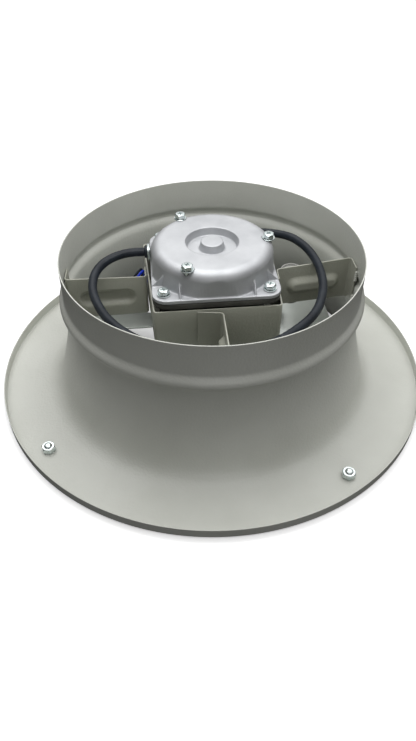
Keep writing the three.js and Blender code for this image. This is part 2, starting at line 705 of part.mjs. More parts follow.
// The blade's mid surface: t from root to tip, and u from the leading edge (low) to the trailing
// edge (high). It rises anticlockwise and flattens towards the tip; pitch is the rise per radian.
function bladePoint(t, u) {
  const r = BLADE.root + (BLADE.tip - BLADE.root) * t;
  const pitch = BLADE.pitch * (1 + t * t);
  const rise = BLADE.rise + (BLADE.tipRise - BLADE.rise) * t;
  const trailing = degrees(BLADE.trailing - BLADE.sweep * t - BLADE.curl * t * t);
  const angle = trailing - ((1 - u) * rise) / pitch;
  const camber = BLADE.camber * Math.sin(Math.PI * u);
  return new THREE.Vector3(...onCircle(r, angle), BLADE.top - (1 - u) * rise + camber);
}

// Points of both faces of the blade, the upper face's rows first.
function bladeFaces() {
  const { spans, chords } = BLADE;
  const step = 1e-3;
  const positions = [];
  for (const side of [0.5, -0.5]) {
    for (let i = 0; i <= spans; i += 1) {
      for (let j = 0; j <= chords; j += 1) {
        const t = i / spans;
        const u = j / chords;
        const here = bladePoint(t, u);
        const outward = bladePoint(t + step, u).sub(here);
        const along = bladePoint(t, u + step).sub(here);
        const normal = outward.cross(along).normalize();
        positions.push(...here.addScaledVector(normal, side * BLADE.sheet).toArray());
      }
    }
  }
  return positions;
}

function bladeSolid() {
  const { spans, chords } = BLADE;
  const row = chords + 1;
  const lower = (spans + 1) * row;
  const index = [];
  const quad = (a, b, c, d) => index.push(a, b, c, a, c, d);
  for (let i = 0; i < spans; i += 1) {
    for (let j = 0; j < chords; j += 1) {
      const a = i * row + j;
      quad(a, a + row, a + row + 1, a + 1);
      quad(lower + a, lower + a + 1, lower + a + row + 1, lower + a + row);
    }
    const leading = i * row;
    quad(leading, lower + leading, lower + leading + row, leading + row);
    const trailing = leading + chords;
    quad(trailing, trailing + row, lower + trailing + row, lower + trailing);
  }
  for (let j = 0; j < chords; j += 1) {
    quad(j, j + 1, lower + j + 1, lower + j);
    const tip = spans * row + j;
    quad(tip, lower + tip, lower + tip + 1, tip + 1);
  }
  const geometry = new THREE.BufferGeometry();
  geometry.setAttribute("position", new THREE.Float32BufferAttribute(bladeFaces(), 3));
  geometry.setIndex(index);
  return solidOf(geometry);
}

function blades() {
  const blade = bladeSolid();
  for (let i = 0; i < BLADE.count; i += 1) {
    place("blade_" + (i + 1), blade, WHEEL_SHEET, { turn: (i * TURN) / BLADE.count });
  }
}

housing();
flangeFasteners();
tray();
arms();
motorCap();
motorBody();
motorInside();
motorScrews();
glandPieces();
supplyLead();
runCapacitor();
wheelHub();
hubNut();
blades();

export default part;
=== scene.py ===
"""Looks for the exhaust hood fan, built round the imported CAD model.

The tables hold millimetres, as in the CAD; every mesh is made in metres.
"""

import json
import math

import bmesh
import bpy
from mathutils import Matrix, Vector


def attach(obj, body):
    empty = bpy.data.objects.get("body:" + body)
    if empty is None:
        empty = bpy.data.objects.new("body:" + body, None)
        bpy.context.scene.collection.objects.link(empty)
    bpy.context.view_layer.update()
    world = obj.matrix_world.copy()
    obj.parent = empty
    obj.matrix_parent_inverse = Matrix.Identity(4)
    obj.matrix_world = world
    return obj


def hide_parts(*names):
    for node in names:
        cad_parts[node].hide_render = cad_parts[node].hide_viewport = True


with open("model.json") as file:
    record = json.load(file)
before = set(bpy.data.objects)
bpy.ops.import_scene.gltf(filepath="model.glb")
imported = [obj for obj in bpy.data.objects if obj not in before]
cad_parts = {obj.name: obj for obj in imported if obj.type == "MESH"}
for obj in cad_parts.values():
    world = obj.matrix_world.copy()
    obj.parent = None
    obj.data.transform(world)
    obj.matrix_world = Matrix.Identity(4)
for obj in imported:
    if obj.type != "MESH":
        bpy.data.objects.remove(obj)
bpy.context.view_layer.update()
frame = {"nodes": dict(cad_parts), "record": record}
nodes = frame["nodes"]

MM = 0.001
FRAME_BODY = "fan_frame"
WHEEL_BODY = "wheel"

# ---- sizes shared with the CAD ----
SHEET = 1.0
COLLAR_R, COLLAR_TOP = 125.0, 127.0
# The curves of the housing's outer face from the collar down: four control points as (r, z), and
# the steps. They run into the bead, out of it to the waist, down the bell mouth and out at the foot.
WALL_CURVES = [
    ((125.0, 100.5), (125.0, 96.5), (129.0, 96.0), (129.0, 91.0), 8),
    ((129.0, 91.0), (129.0, 88.4), (124.8, 88.1), (124.8, 82.5), 8),
    ((124.8, 82.5), (125.2, 55.0), (131.5, 40.0), (135.0, 24.0), 16),
    ((135.0, 24.0), (138.2, 9.0), (141.5, 5.0), (152.0, 2.6), 14),
]
FLANGE_R, FLANGE_LIP, FLANGE_FLAT, FLANGE_BEND = 191.4, 9.4, 166.0, 2.0
STUD_COUNT, STUD_CIRCLE, STUD_FIRST, STUD_R, STUD_TOP = 4, 173.0, -141.0, 3.0, 8.0
NUT_FLATS, NUT_HEIGHT, NUT_TURN = 10.0, 5.0, 0.3
GAP = 0.3
PAST = 1.0  # how far a cutter runs past the face that it opens
SINK = 0.2

MOTOR_TURN, MOTOR_HALF, MOTOR_CORNER = 5.7, 51.2, 14.0
CAP_TOP, CAP_FLANGE, CAP_SPLIT = 134.0, 113.0, 109.6
CAP_FOOT, CAP_SHOULDER, CAP_BEND, CAP_FLAT, CAP_WALL = 52.2, 50.4, 8.6, 49.9, 3.0
RECESS_R, RECESS_FLOOR_R, RECESS_FLOOR, RECESS_WALL = 21.8, 20.5, 127.2, 2.0
BOSS_R, BOSS_FOOT_R = 9.1, 10.6
BEARING_R, BEARING_LOW, BEARING_CUP, BEARING_RELIEF = 11.0, 117.2, 3.0, 0.6
CAP_RIB_OFFSET, CAP_RIB_FOOT, CAP_RIB_T = 29.5, 41.5, 1.4
CAP_RIB_SIDE = ((0.0, 0.0), (9.0, 0.0), (8.4, 1.2), (0.0, 10.0))
CAP_SCREW_COUNT, CAP_SCREW_CIRCLE, CAP_SCREW_FIRST = 3, 46.4, 6.0
CAP_SCREW_SEAT, CAP_SCREW_DEPTH, CAP_SHANK, CAP_SCREW_TURN = 133.2, 12.0, 9.0, 0.4
CORNER_AT, CORNER_SHANK, CORNER_TURN = 42.0, 12.0, 0.9
SCREW_R, SCREW_HOLE, SCREW_FLATS, SCREW_HEAD = 2.4, 2.8, 8.0, 3.6
WASHER_R, WASHER_T = 5.3, 1.0
GLAND_Y, GLAND_Z, GLAND_WIDTH, GLAND_HEIGHT = 11.4, 119.8, 12.5, 11.6
GLAND_FACE, GLAND_INSIDE, BUSH_HOLE = 50.8, 44.0, 4.8

TRAY_TURN, TRAY_FRONT, TRAY_BACK, TRAY_HALF = 6.0, 51.2, 57.0, 52.0
ARM_SHEET, ARM_BOTTOM, ARM_INNER, ARM_OUTER = 1.2, 66.0, 103.3, 105.6
ARM_BEND, ARM_REACH, ARM_TAB = 3.0, 122.8, 7.6
RIB_HEIGHT, RIB_Z, RIB_DEPTH, RIB_MARGIN = 17.0, 84.5, 4.5, 9.0
# The tray's wall that each arm starts from, the bend's place along it, its stand-off there, the
# folded tab's run, and the angle at which the arm meets the collar.
ARMS = {
    "arm_right": ("right", 0.0, 1.6, -15.0, 9.6),
    "arm_front": ("front", 3.1, 4.6, -20.0, -83.2),
    "arm_left": ("left", 0.0, 1.6, 15.0, 186.7),
}

HUB_R, HUB_TOP, HUB_BOTTOM, HUB_WALL, HUB_DECK, HUB_ROUND = 40.0, 56.0, 22.0, 1.5, 2.0, 3.0
HUB_BOSS, HUB_BOSS_BOTTOM, SHAFT_BORE = 10.0, 36.0, 4.3
BLADE_COUNT, BLADE_ROOT, BLADE_TIP, BLADE_SHEET, BLADE_TOP = 5, 40.4, 117.0, 1.5, 55.0
BLADE_RISE, BLADE_TIP_RISE, BLADE_PITCH, BLADE_CAMBER = 30.0, 37.5, 30.0, 3.0
BLADE_TRAILING, BLADE_SWEEP, BLADE_CURL = 50.5, 4.0, 6.0

LEAD_R, CORE_R = 3.6, 1.1
LEAD_ROUTE = [
    (-51, 6.4, 119.8), (-58, 5.8, 119.8), (-66, 4.8, 119.9), (-74.5, 2.2, 119.7), (-83, -3, 119),
    (-90, -10.5, 117.7), (-94.2, -20.5, 116), (-95, -32, 114), (-93, -43.5, 112.4),
    (-88, -56, 110.8), (-81, -68.5, 109.6), (-71, -81.5, 109.2), (-59, -92.5, 109.1),
    (-45, -102, 109.2), (-29, -109, 109.5), (-12, -113, 109.7), (5, -113.5, 109.7),
    (22, -110.5, 109.6), (38, -104, 109.4), (52, -94.5, 109.2), (64, -83, 109), (74.5, -70.5, 109),
    (82, -57, 109), (87, -41.5, 109), (89.8, -26, 109), (90.4, -9, 108.9), (89, 7.5, 108.8),
    (85.5, 23, 108.8), (79.5, 37, 108.9), (70.5, 49, 108.9), (58.5, 58, 107.2), (43.5, 64.8, 104.8),
    (27, 68, 102), (10, 68.6, 98.2), (-7, 67.2, 92.8), (-22, 64.2, 85.6), (-36, 59.6, 76),
]
CORE_ROUTE = [
    (-36.7, 59.4, 75.5), (-42, 57.6, 71.4), (-48, 56, 67.8), (-54, 54, 65.6), (-60, 51.6, 65),
    (-65, 47.6, 65), (-67, 42, 65.8), (-66.4, 35.6, 68), (-64.8, 29, 71.8), (-63.2, 23, 77),
    (-61.6, 18.4, 83.4), (-60.4, 15.4, 90), (-59.9, 13.4, 95.4), (-60.6, 11, 98.4),
    (-62.4, 7.6, 98.4), (-64.4, 4.8, 96.8), (-66.8, 2.8, 94), (-69.4, 1.8, 90.4), (-72, 1.4, 86.4),
    (-74.4, 1.3, 82.2),
]
CORE_SPREAD = (-2, 1.5, 0.9)

# ---- sizes of the looks only ----
# How many flats each kind of round piece is made with.
ROUND = {
    "weld": 20, "hole": 24, "shank": 24, "stud": 32, "bore": 32, "washer": 48, "chamfer": 48,
    "hub": 96, "body": 96, "cap": 128, "housing": 192,
}
SHEET_EDGE, NUT_EDGE, SCREW_EDGE, WHEEL_EDGE, CAD_EDGE = 0.25, 0.12, 0.1, 0.3, 0.2
NUT_CHAMFER, NUT_FACE, NUT_OVER = 0.9, 1.0, 0.2
THREAD_PITCH, THREAD_DEPTH, THREAD_START = 1.0, 0.45, 0.4
STUD_TIP = ((0.0, 0.8), (0.7, 0.2), (1.6, 0.0))  # in from the side, and down from the top
# Out from the hexagon's corners, and down from the top.
SCREW_CROWN = ((0.1, 0.9), (-0.9, 0.1), (-1.6, 0.0))
CROSS_LENGTH, CROSS_WIDTH, CROSS_DEPTH, CROSS_TURNS = 4.6, 1.0, 1.5, (20, 110)
WASHER_EDGE = 0.2
CAP_WASHER_ROOM, CORNER_WASHER_ROOM, CORNER_ROOM = 0.5, 0.7, 12.0
# An arc with this share of the corner's radius lies near the CAD's rounded corner.
CORNER_SHARE = 0.8
CAST_VOXEL, CAST_SMOOTHING, CAST_ROUNDS = 0.55, 0.5, 4
RIB_ROLL = 5.5
ARM_STEPS, ARM_ROWS = 64, 40
WELD_R, WELD_LUMP, WELD_LUMPS, WELD_STEPS = 0.7, 0.7, 5, 6
WELDS = {"high": (92, 102), "low": (69, 78)}
BLADE_SPANS, BLADE_CHORDS, BLADE_STEP = 30, 28, 1e-3
BLADE_TIP_START, BLADE_TIP_INSET = 0.84, 0.13
FLOOR_HALF, FLOOR_Z = 6000.0, -0.4

CAMERA_AT = (0, -0.4438, 0.3957)
CAMERA_DOWN, CAMERA_YAW, CAMERA_ROLL = 42.34, -0.46, -0.17
CAMERA_LENS, CAMERA_SENSOR, CAMERA_NEAR = 30.155, 36, 0.01


# ---- camera ----
def make_camera():
    down, yaw, roll = (math.radians(a) for a in (CAMERA_DOWN, CAMERA_YAW, CAMERA_ROLL))
    forward = Vector((
        math.sin(yaw) * math.cos(down),
        math.cos(yaw) * math.cos(down),
        -math.sin(down),
    ))
    right = forward.cross(Vector((0, 0, 1))).normalized()
    up = right.cross(forward)
    side = right * math.cos(roll) + up * math.sin(roll)
    top = up * math.cos(roll) - right * math.sin(roll)
    data = bpy.data.cameras.new("camera")
    data.lens = CAMERA_LENS
    data.sensor_width = CAMERA_SENSOR
    data.clip_start = CAMERA_NEAR
    camera = bpy.data.objects.new("camera", data)
    bpy.context.scene.collection.objects.link(camera)
    turn = Matrix((side, top, -forward)).transposed().to_4x4()
    camera.matrix_world = Matrix.Translation(CAMERA_AT) @ turn
    bpy.context.scene.camera = camera


make_camera()


# ---- materials ----
def shader(name, roughness, metallic=0.0, color=None, coat=0.0):
    made = bpy.data.materials.new(name)
    made.use_nodes = True
    principled = made.node_tree.nodes["Principled BSDF"]
    principled.inputs["Roughness"].default_value = roughness
    principled.inputs["Metallic"].default_value = metallic
    principled.inputs["Coat Weight"].default_value = coat
    if color:
        principled.inputs["Base Color"].default_value = (*color, 1)
    return made, made.node_tree, principled


def noise(tree, scale, detail=2.0, stretch=(1, 1, 1)):
    place = tree.nodes.new("ShaderNodeTexCoord")
    mapping = tree.nodes.new("ShaderNodeMapping")
    mapping.inputs["Scale"].default_value = stretch
    texture = tree.nodes.new("ShaderNodeTexNoise")
    texture.inputs["Scale"].default_value = scale
    texture.inputs["Detail"].default_value = detail
    tree.links.new(place.outputs["Object"], mapping.inputs["Vector"])
    tree.links.new(mapping.outputs["Vector"], texture.inputs["Vector"])
    return texture.outputs["Fac"]


def ramp(tree, source, low, high, start=0.3, end=0.7):
    made = tree.nodes.new("ShaderNodeValToRGB")
    made.color_ramp.elements[0].position = start
    made.color_ramp.elements[1].position = end
    made.color_ramp.elements[0].color = (*low, 1)
    made.color_ramp.elements[1].color = (*high, 1)
    tree.links.new(source, made.inputs["Fac"])
    return made.outputs["Color"]


def spread(tree, source, low, high):
    made = tree.nodes.new("ShaderNodeMapRange")
    made.inputs["To Min"].default_value = low
    made.inputs["To Max"].default_value = high
    tree.links.new(source, made.inputs["Value"])
    return made.outputs["Result"]


def bump(tree, principled, layers):
    """Adds bump layers, each a height source with its strength and depth in metres."""
    last = None
    for height, strength, depth in layers:
        made = tree.nodes.new("ShaderNodeBump")
        made.inputs["Strength"].default_value = strength
        made.inputs["Distance"].default_value = depth
        tree.links.new(height, made.inputs["Height"])
        if last:
            tree.links.new(last, made.inputs["Normal"])
        last = made.outputs["Normal"]
    tree.links.new(last, principled.inputs["Normal"])


def powder_coat(name, dark, light):
    made, tree, principled = shader(name, 0.36)
    tint = ramp(tree, noise(tree, 14, 3), dark, light)
    tree.links.new(tint, principled.inputs["Base Color"])
    gloss = spread(tree, noise(tree, 420, 2), 0.24, 0.46)
    tree.links.new(gloss, principled.inputs["Roughness"])
    bump(tree, principled, [
        (noise(tree, 22, 2), 0.25, 0.0012),
        (noise(tree, 520, 2), 0.6, 0.0004),
    ])
    return made


def cast_aluminium():
    made, tree, principled = shader("cast_aluminium", 0.6, 0.75)
    tint = ramp(tree, noise(tree, 45, 4), (0.46, 0.47, 0.485), (0.56, 0.57, 0.585))
    tree.links.new(tint, principled.inputs["Base Color"])
    gloss = spread(tree, noise(tree, 160, 4), 0.5, 0.7)
    tree.links.new(gloss, principled.inputs["Roughness"])
    bump(tree, principled, [
        (noise(tree, 140, 4), 0.4, 0.0004),
        (noise(tree, 1500, 2), 0.35, 0.00008),
    ])
    return made


def dark_casting():
    made, tree, principled = shader("dark_casting", 0.55, 0.3)
    tint = ramp(tree, noise(tree, 60, 4), (0.05, 0.05, 0.045), (0.1, 0.1, 0.088))
    tree.links.new(tint, principled.inputs["Base Color"])
    bump(tree, principled, [(noise(tree, 900, 3), 0.4, 0.0001)])
    return made


def zinc():
    made, tree, principled = shader("zinc", 0.24, 1.0)
    tint = ramp(tree, noise(tree, 260, 3), (0.6, 0.68, 0.68), (0.8, 0.85, 0.84))
    tree.links.new(tint, principled.inputs["Base Color"])
    gloss = spread(tree, noise(tree, 700, 3), 0.16, 0.34)
    tree.links.new(gloss, principled.inputs["Roughness"])
    bump(tree, principled, [(noise(tree, 1600, 2), 0.2, 0.00004)])
    return made


def rolled_sheet():
    made, tree, principled = shader("rolled_sheet", 0.3, 0.75)
    grain = noise(tree, 300, 4, stretch=(0.08, 1, 1))
    tint = ramp(tree, noise(tree, 30, 3), (0.56, 0.6, 0.57), (0.7, 0.73, 0.7))
    tree.links.new(tint, principled.inputs["Base Color"])
    tree.links.new(spread(tree, grain, 0.24, 0.44), principled.inputs["Roughness"])
    bump(tree, principled, [(grain, 0.15, 0.00006)])
    return made


def ground_steel():
    made, tree, principled = shader("ground_steel", 0.32, 1.0)
    grain = noise(tree, 500, 3, stretch=(1, 1, 0.1))
    tint = ramp(tree, grain, (0.34, 0.35, 0.36), (0.48, 0.49, 0.5))
    tree.links.new(tint, principled.inputs["Base Color"])
    bump(tree, principled, [(grain, 0.15, 0.00004)])
    return made


def copper_wire():
    made, tree, principled = shader("copper_wire", 0.35, 0.9)
    strands = noise(tree, 900, 2, stretch=(1, 1, 3))
    tint = ramp(tree, strands, (0.36, 0.13, 0.05), (0.62, 0.27, 0.12))
    tree.links.new(tint, principled.inputs["Base Color"])
    bump(tree, principled, [(strands, 0.7, 0.0002)])
    return made


def pvc(name, dark, light, roughness):
    made, tree, principled = shader(name, roughness)
    principled.inputs["Specular IOR Level"].default_value = 0.2
    tint = ramp(tree, noise(tree, 90, 3), dark, light)
    tree.links.new(tint, principled.inputs["Base Color"])
    gloss = spread(tree, noise(tree, 350, 3), roughness - 0.08, roughness + 0.12)
    tree.links.new(gloss, principled.inputs["Roughness"])
    bump(tree, principled, [(noise(tree, 1300, 2), 0.2, 0.00006)])
    return made


FINISHES = {
    "painted_steel": powder_coat("powder_coat", (0.56, 0.57, 0.52), (0.63, 0.64, 0.59)),
    "cast_aluminium": cast_aluminium(),
    "dark_casting": dark_casting(),
    "zinc_plate": zinc(),
    "wheel_sheet": rolled_sheet(),
    "bare_steel": ground_steel(),
    "copper_winding": copper_wire(),
    "black_pvc": pvc("black_pvc", (0.01, 0.013, 0.018), (0.02, 0.025, 0.032), 0.34),
    "blue_pvc": pvc("blue_pvc", (0.004, 0.035, 0.55), (0.01, 0.06, 0.75), 0.32),
    "pale_plastic": pvc("pale_plastic", (0.3, 0.3, 0.285), (0.38, 0.38, 0.36), 0.5),
}

# The motor's carrier (the tray and arms) is the housing's grey made darker and warmer: painted shade
# for the dark inside of the duct.
SHADED_CARRIER_COAT = powder_coat("carrier_coat_painted_shade", (0.34, 0.345, 0.29), (0.4, 0.405, 0.345))
CARRIER_NODES = ("motor_tray", *ARMS)


# ---- making pieces ----
def mesh_object(name, verts, faces):
    mesh = bpy.data.meshes.new(name)
    mesh.from_pydata([tuple(c * MM for c in v) for v in verts], [], faces)
    shape = bmesh.new()
    shape.from_mesh(mesh)
    bmesh.ops.remove_doubles(shape, verts=shape.verts, dist=1e-7)
    bmesh.ops.recalc_face_normals(shape, faces=shape.faces)
    shape.to_mesh(mesh)
    shape.free()
    made = bpy.data.objects.new(name, mesh)
    bpy.context.scene.collection.objects.link(made)
    return made


def lathe(name, profile, segments):
    """Turns a closed [r, z] profile about Z."""
    verts = []
    for i in range(segments):
        angle = math.tau * i / segments
        verts += [(r * math.cos(angle), r * math.sin(angle), z) for r, z in profile]
    count = len(profile)
    faces = []
    for i in range(segments):
        here, there = i * count, (i + 1) % segments * count
        for j in range(count):
            k = (j + 1) % count
            if profile[j][0] == 0 and profile[k][0] == 0:
                continue
            faces.append((here + j, there + j, there + k, here + k))
    return mesh_object(name, verts, faces)


def prism(name, outline, low, high):
    count = len(outline)
    verts = [(x, y, low) for x, y in outline] + [(x, y, high) for x, y in outline]
    faces = [tuple(range(count)), tuple(range(count, 2 * count))]
    faces += [(i, (i + 1) % count, count + (i + 1) % count, count + i) for i in range(count)]
    return mesh_object(name, verts, faces)


def drum(r, low, high, at=(0, 0), sides=ROUND["bore"]):
    ring = [math.tau * i / sides for i in range(sides)]
    outline = [(at[0] + r * math.cos(a), at[1] + r * math.sin(a)) for a in ring]
    return prism("cutter", outline, low, high)


def block(x, y, z):
    return prism("cutter", [(x[0], y[0]), (x[1], y[0]), (x[1], y[1]), (x[0], y[1])], *z)


def hex_outline(flats):
    r = flats / math.sqrt(3)
    return [(r * math.cos(math.tau * i / 6), r * math.sin(math.tau * i / 6)) for i in range(6)]


def rounded_square(half, radius, steps=10):
    points = []
    for quarter, (sx, sy) in enumerate([(1, 1), (-1, 1), (-1, -1), (1, -1)]):
        for i in range(steps + 1):
            angle = math.pi / 2 * (quarter + i / steps)
            x = sx * (half - radius) + radius * math.cos(angle)
            y = sy * (half - radius) + radius * math.sin(angle)
            points.append((x, y))
    return points


def settle(made):
    """Replaces an object's mesh with what its modifiers make of it."""
    graph = bpy.context.evaluated_depsgraph_get()
    mesh = bpy.data.meshes.new_from_object(made.evaluated_get(graph))
    made.modifiers.clear()
    made.data = mesh


def combine(made, others, operation):
    for other in others:
        cut = made.modifiers.new("cut", "BOOLEAN")
        cut.object = other
        cut.operation = operation
        cut.solver = "EXACT"
        settle(made)
        bpy.data.objects.remove(other)
    return made


def bevelled(made, width, angle=35, segments=2):
    edge = made.modifiers.new("edge", "BEVEL")
    edge.width = width * MM
    edge.segments = segments
    edge.limit_method = "ANGLE"
    edge.angle_limit = math.radians(angle)
    return made


def dress(made, slot, body, replaced=(), angle=35):
    made.data.materials.clear()
    made.data.materials.append(FINISHES[slot])
    if made.type == "MESH":
        made.data.shade_smooth()
        made.data.set_sharp_from_angle(angle=math.radians(angle))
    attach(made, body)
    if replaced:
        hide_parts(*replaced)
    return made


def thick_sheet(name, grid, normals, thickness):
    """A closed sheet of even thickness round a grid of points, by their normals."""
    rows, cols = len(grid), len(grid[0])
    verts = []
    for side in (0.5, -0.5):
        for row, facing in zip(grid, normals):
            verts += [tuple(p + n * (side * thickness)) for p, n in zip(row, facing)]
    under = rows * cols
    faces = []
    for i in range(rows - 1):
        for j in range(cols - 1):
            a = i * cols + j
            quad = (a, a + 1, a + cols + 1, a + cols)
            faces += [quad, tuple(under + v for v in reversed(quad))]
    rim = [(0, j) for j in range(cols)] + [(i, cols - 1) for i in range(1, rows)]
    rim += [(rows - 1, j) for j in range(cols - 2, -1, -1)] + [(i, 0) for i in range(rows - 2, 0, -1)]
    ring = [i * cols + j for i, j in rim]
    for here, there in zip(ring, ring[1:] + ring[:1]):
        faces.append((here, there, under + there, under + here))
    return mesh_object(name, verts, faces)


# ---- cords ----
def catmull(points, steps):
    """A smooth line through points: centripetal Catmull-Rom, as the CAD's."""
    points = [Vector(p) for p in points]
    ends = [points[0] * 2 - points[1], *points, points[-1] * 2 - points[-2]]
    line = []
    for p0, p1, p2, p3 in zip(ends, ends[1:], ends[2:], ends[3:]):
        t1 = (p1 - p0).length ** 0.5
        t2 = t1 + (p2 - p1).length ** 0.5
        t3 = t2 + (p3 - p2).length ** 0.5
        for i in range(steps):
            t = t1 + (t2 - t1) * i / steps
            a1 = p0.lerp(p1, t / t1)
            a2 = p1.lerp(p2, (t - t1) / (t2 - t1))
            a3 = p2.lerp(p3, (t - t2) / (t3 - t2))
            b1 = a1.lerp(a2, t / t2)
            b2 = a2.lerp(a3, (t - t1) / (t3 - t1))
            line.append(b1.lerp(b2, (t - t1) / (t2 - t1)))
    return [*line, points[-1]]


def cord_piece(name, route, r, slot, node):
    line = [p * MM for p in catmull(route, 6)]
    data = bpy.data.curves.new(name, "CURVE")
    data.dimensions = "3D"
    data.bevel_depth = r * MM
    data.bevel_resolution = 6
    data.use_fill_caps = True
    spline = data.splines.new("POLY")
    spline.points.add(len(line) - 1)
    for point, place in zip(spline.points, line):
        point.co = (*place, 1)
    made = bpy.data.objects.new(name, data)
    bpy.context.scene.collection.objects.link(made)
    dress(made, slot, FRAME_BODY, [node])


def beside(side):
    return [tuple(c + side * s for c, s in zip(p, CORE_SPREAD)) for p in CORE_ROUTE]


cord_piece("lead", LEAD_ROUTE, LEAD_R, "black_pvc", "supply_lead")
cord_piece("core_blue", beside(-0.5), CORE_R, "blue_pvc", "lead_core_blue")
cord_piece("core_black", beside(0.5), CORE_R, "black_pvc", "lead_core_black")


# ---- housing ----
def bezier(p0, p1, p2, p3, steps):
    points = []
    for i in range(steps + 1):
        t = i / steps
        w = ((1 - t) ** 3, 3 * t * (1 - t) ** 2, 3 * t * t * (1 - t), t ** 3)
        points.append(tuple(sum(k * p[axis] for k, p in zip(w, (p0, p1, p2, p3))) for axis in (0, 1)))
    return points


def arc(centre, radius, start, end, steps):
    points = []
    for i in range(steps + 1):
        angle = math.radians(start + (end - start) * i / steps)
        points.append((centre[0] + radius * math.cos(angle), centre[1] + radius * math.sin(angle)))
    return points


def wall_line():
    """The wall's outer face from the rim to the flange's flat, as [r, z] points."""
    line = [(COLLAR_R, COLLAR_TOP), WALL_CURVES[0][0]]
    for curve in WALL_CURVES:
        line += bezier(*curve)[1:]
    return [*line, (FLANGE_FLAT, SHEET)]


def offset_inward(line):
    shifted = []
    for i, (r, z) in enumerate(line):
        after, before = line[min(i + 1, len(line) - 1)], line[max(i - 1, 0)]
        dr, dz = after[0] - before[0], after[1] - before[1]
        along = math.hypot(dr, dz)
        shifted.append((r + SHEET * dz / along, z - SHEET * dr / along))
    shifted[0] = (shifted[0][0], line[0][1])
    shifted[-1] = (line[-1][0], line[-1][1] - SHEET)
    return shifted


def stud_spots():
    """Each flange stud's angle and its place."""
    spots = []
    for i in range(STUD_COUNT):
        angle = math.radians(STUD_FIRST + 360 / STUD_COUNT * i)
        spots.append((angle, STUD_CIRCLE * math.cos(angle), STUD_CIRCLE * math.sin(angle)))
    return spots


def housing():
    outer = wall_line()
    centre = (FLANGE_R - FLANGE_BEND, FLANGE_BEND)
    lip_inside = arc(centre, FLANGE_BEND - SHEET, -90, 0, 6) + [(FLANGE_R - SHEET, FLANGE_LIP)]
    lip_outside = [(FLANGE_R, FLANGE_LIP)] + arc(centre, FLANGE_BEND, 0, -90, 8)
    inner = offset_inward(outer)
    made = lathe("housing", outer + lip_inside + lip_outside + inner[::-1], ROUND["housing"])
    holes = [
        drum(STUD_R + GAP, -PAST, SHEET + PAST, (x, y), ROUND["hole"]) for _, x, y in stud_spots()
    ]
    combine(made, holes, "DIFFERENCE")
    bevelled(made, SHEET_EDGE, angle=50)
    dress(made, "painted_steel", FRAME_BODY, ["housing_shell"])


housing()


# ---- flange nuts and studs ----
def turned_about(made, angle, at):
    made.data.transform(Matrix.Translation(Vector(at) * MM) @ Matrix.Rotation(angle, 4, "Z"))
    return made


def nut_mesh(name, flats, height, bore):
    corner = flats / math.sqrt(3)
    made = prism(name, hex_outline(flats), 0, height)
    face, over = corner - NUT_FACE, corner + NUT_OVER
    form = lathe("cutter", [
        (0, 0), (face, 0), (over, NUT_CHAMFER),
        (over, height - NUT_CHAMFER), (face, height), (0, height),
    ], ROUND["chamfer"])
    combine(made, [form], "INTERSECT")
    return combine(made, [drum(bore, -PAST, height + PAST)], "DIFFERENCE")


def thread_profile(r, low, high):
    tip = STUD_TIP[0][1]
    turns = int((high - low - tip - THREAD_START) / THREAD_PITCH)
    start = high - tip - turns * THREAD_PITCH
    points = [(0, low), (r, low)]
    for i in range(turns):
        crest, root = start + i * THREAD_PITCH, start + (i + 0.5) * THREAD_PITCH
        points += [(r, crest), (r - THREAD_DEPTH, root)]
    return [*points, *((r - inset, high - down) for inset, down in STUD_TIP), (0, high)]


def flange_fasteners():
    for i, (angle, x, y) in enumerate(stud_spots(), 1):
        nut = nut_mesh(f"nut_{i}", NUT_FLATS, NUT_HEIGHT, STUD_R + GAP)
        turned_about(nut, angle + NUT_TURN, (x, y, SHEET + GAP))
        bevelled(nut, NUT_EDGE, angle=25)
        dress(nut, "zinc_plate", FRAME_BODY, [f"flange_nut_{i}"], angle=25)
        stud = lathe(f"stud_{i}", thread_profile(STUD_R, 0, STUD_TOP), ROUND["stud"])
        turned_about(stud, 0, (x, y, 0))
        dress(stud, "zinc_plate", FRAME_BODY, [f"flange_stud_{i}"], angle=60)


flange_fasteners()


# ---- motor cap ----
QUARTERS = [(-1, -1), (-1, 1), (1, -1), (1, 1)]
CORNERS = [(-1, -1), (1, -1), (1, 1), (-1, 1)]  # in the order of the corner screws' numbers


def in_motor(x, y):
    turn = math.radians(MOTOR_TURN)
    return x * math.cos(turn) - y * math.sin(turn), x * math.sin(turn) + y * math.cos(turn)


def cap_screw_spots():
    spots = []
    for i in range(CAP_SCREW_COUNT):
        angle = math.radians(CAP_SCREW_FIRST - MOTOR_TURN + 360 / CAP_SCREW_COUNT * i)
        spots.append((CAP_SCREW_CIRCLE * math.cos(angle), CAP_SCREW_CIRCLE * math.sin(angle)))
    return spots


